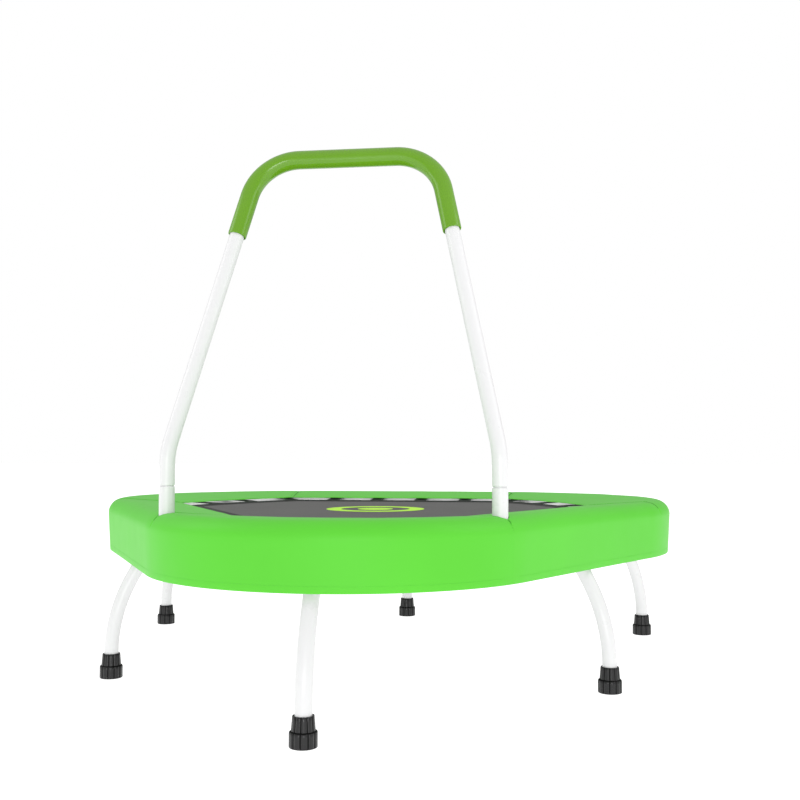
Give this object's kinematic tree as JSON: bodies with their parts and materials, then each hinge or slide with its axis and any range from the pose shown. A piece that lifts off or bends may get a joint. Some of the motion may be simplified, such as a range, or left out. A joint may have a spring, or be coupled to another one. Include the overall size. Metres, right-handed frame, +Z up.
{
  "type": "mini trampoline",
  "caption": "Child's mini trampoline: rounded-triangle padded frame on curved legs with rubber feet, mat hung on elastic straps, and a lift-off arched handlebar with a grip sleeve.",
  "frame": {"origin": "middle of the whole object's plan box, on the floor under the feet; the trampoline's own vertical axis is 64.8 mm behind it, at y = 0.0648", "axes": "+Z up, -Y towards the handlebar and the front foot, +X to the right seen from the front"},
  "size_m": [1.1914, 1.2106, 0.9484],
  "materials": {
    "frame_tube": "gloss",
    "foot_rubber": "satin",
    "pad_cover": "satin",
    "mat_fabric": "matte",
    "webbing": "matte",
    "elastic": "matte",
    "grip_sleeve": "satin",
    "fastener": "satin"
  },
  "bodies": {
    "frame": {"rail_front": "frame_tube", "rail_right_front": "frame_tube", "rail_right_rear": "frame_tube", "rail_rear": "frame_tube", "rail_left_rear": "frame_tube", "rail_left_front": "frame_tube", "leg_front": "frame_tube", "leg_right_front": "frame_tube", "leg_right_rear": "frame_tube", "leg_rear": "frame_tube", "leg_left_rear": "frame_tube", "leg_left_front": "frame_tube", "foot_front": "foot_rubber", "foot_right_front": "foot_rubber", "foot_right_rear": "foot_rubber", "foot_rear": "foot_rubber", "foot_left_rear": "foot_rubber", "foot_left_front": "foot_rubber", "pad_front": "pad_cover", "pad_right_front": "pad_cover", "pad_right_rear": "pad_cover", "pad_rear": "pad_cover", "pad_left_rear": "pad_cover", "pad_left_front": "pad_cover", "strap_01": "elastic", "strap_02": "elastic", "strap_03": "elastic", "strap_04": "elastic", "strap_05": "elastic", "strap_06": "elastic", "strap_07": "elastic", "strap_08": "elastic", "strap_09": "elastic", "strap_10": "elastic", "strap_11": "elastic", "strap_12": "elastic", "strap_13": "elastic", "strap_14": "elastic", "strap_15": "elastic", "strap_16": "elastic", "strap_17": "elastic", "strap_18": "elastic", "strap_19": "elastic", "strap_20": "elastic", "strap_21": "elastic", "strap_22": "elastic", "strap_23": "elastic", "strap_24": "elastic", "post_left": "frame_tube", "post_right": "frame_tube", "post_bolt_left": "fastener", "post_bolt_right": "fastener", "lock_screw_left": "fastener", "lock_screw_right": "fastener"},
    "mat": {"mat": "mat_fabric", "mat_border": "webbing"},
    "handlebar": {"handlebar": "frame_tube", "handlebar_grip": "grip_sleeve"}
  },
  "joints": [
    {"name": "mat_bounce", "type": "slide", "parent": "frame", "child": "mat", "axis": [0, 0, 1], "range_m": [-0.1, 0], "stiffness_N_per_m": 5000, "deforming": ["strap_01", "strap_02", "strap_03", "strap_04", "strap_05", "strap_06", "strap_07", "strap_08", "strap_09", "strap_10", "strap_11", "strap_12", "strap_13", "strap_14", "strap_15", "strap_16", "strap_17", "strap_18", "strap_19", "strap_20", "strap_21", "strap_22", "strap_23", "strap_24"]},
    {"name": "handlebar_lift", "type": "slide", "parent": "frame", "child": "handlebar", "axis": [0, 0, 1], "range_m": [0, 0.12]}
  ]
}
